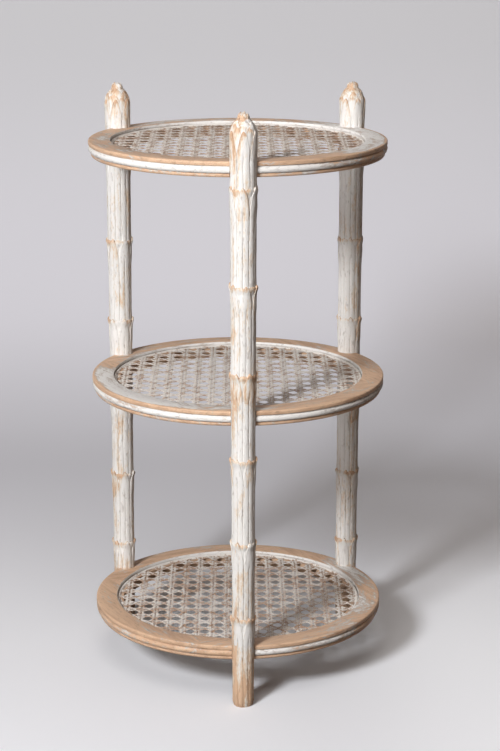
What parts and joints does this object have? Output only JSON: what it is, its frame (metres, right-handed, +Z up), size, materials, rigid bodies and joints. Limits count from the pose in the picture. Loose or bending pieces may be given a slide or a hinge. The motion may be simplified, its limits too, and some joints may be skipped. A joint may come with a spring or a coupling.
{
  "type": "tiered side table",
  "caption": "Round side table with stacked open-cane shelves in moulded wooden rims, carried by carved posts with bud finials.",
  "frame": {"origin": "on the floor, at the centre of the footprint of the whole table", "axes": "+Z up; the front post stands at -Y and the two back posts towards +Y; +X to the right seen from the front"},
  "size_m": [0.3603, 0.3754, 0.714],
  "materials": {
    "post_wood": "worn off-white paint over carved wood",
    "rim_wood": "worn off-white paint over light wood",
    "cane": "whitewashed woven cane",
    "reed": "whitewashed reed",
    "dowel_wood": "bare beech",
    "plug_wood": "bare wood",
    "screw_steel": "zinc plated"
  },
  "bodies": {
    "root": {"front_post": "post_wood", "front_post_screws": "screw_steel", "front_post_plugs": "plug_wood", "back_right_post": "post_wood", "back_right_post_screws": "screw_steel", "back_right_post_plugs": "plug_wood", "back_left_post": "post_wood", "back_left_post_screws": "screw_steel", "back_left_post_plugs": "plug_wood", "bottom_rim_right": "rim_wood", "bottom_rim_back": "rim_wood", "bottom_rim_left": "rim_wood", "bottom_rim_front": "rim_wood", "bottom_rim_dowels": "dowel_wood", "bottom_cane_panel": "cane", "bottom_cane_reed": "reed", "middle_rim_right": "rim_wood", "middle_rim_back": "rim_wood", "middle_rim_left": "rim_wood", "middle_rim_front": "rim_wood", "middle_rim_dowels": "dowel_wood", "middle_cane_panel": "cane", "middle_cane_reed": "reed", "top_rim_right": "rim_wood", "top_rim_back": "rim_wood", "top_rim_left": "rim_wood", "top_rim_front": "rim_wood", "top_rim_dowels": "dowel_wood", "top_cane_panel": "cane", "top_cane_reed": "reed"}
  },
  "joints": []
}
